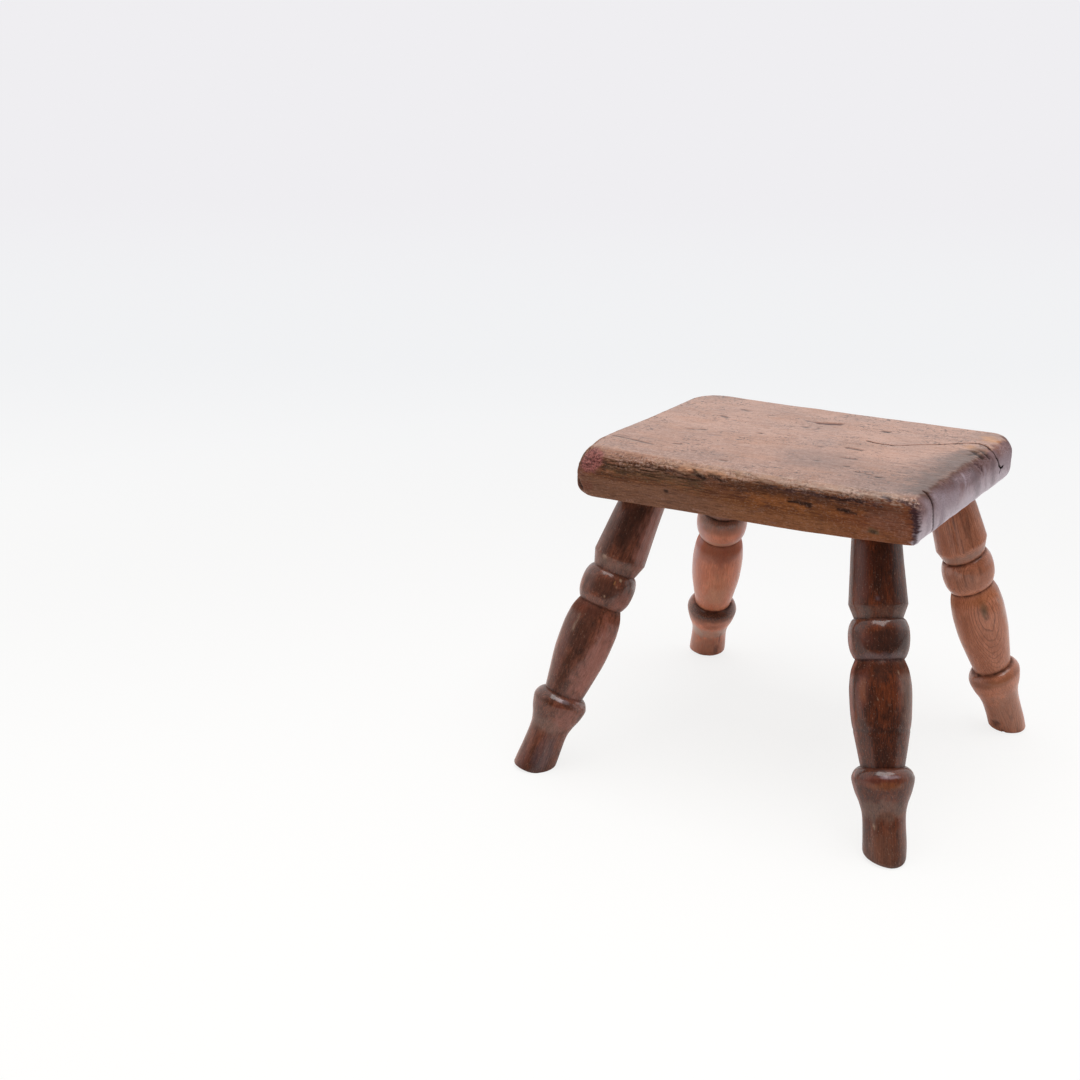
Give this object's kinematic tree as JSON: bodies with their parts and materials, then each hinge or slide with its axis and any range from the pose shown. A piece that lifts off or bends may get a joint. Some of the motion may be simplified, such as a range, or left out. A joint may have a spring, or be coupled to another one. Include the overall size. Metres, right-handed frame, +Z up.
{
  "type": "milking stool",
  "caption": "Low wooden milking stool: a thick rectangular plank seat on turned, splayed legs driven into blind sockets and spread with hidden wedges.",
  "frame": {"origin": "on the floor, within 2 mm of the middle of the rectangle round the four feet", "axes": "+Z up, +X to the right along the seat's length and grain, +Y to the back across the seat"},
  "size_m": [0.3451, 0.3497, 0.27],
  "materials": {
    "seat_wood": "old stain worn through to paler wood, thin wax polish on top, dark and orange-brown on the front edge",
    "leg_wood": "dark red-brown stain and wax polish, glossy on the beads and collars, paler where worn",
    "wedge_wood": "bare split hardwood, hidden in the joint"
  },
  "bodies": {
    "root": {"seat": "seat_wood", "leg_front_left": "leg_wood", "leg_front_right": "leg_wood", "leg_back_left": "leg_wood", "leg_back_right": "leg_wood", "fox_wedge_front_left": "wedge_wood", "fox_wedge_front_right": "wedge_wood", "fox_wedge_back_left": "wedge_wood", "fox_wedge_back_right": "wedge_wood"}
  },
  "joints": []
}
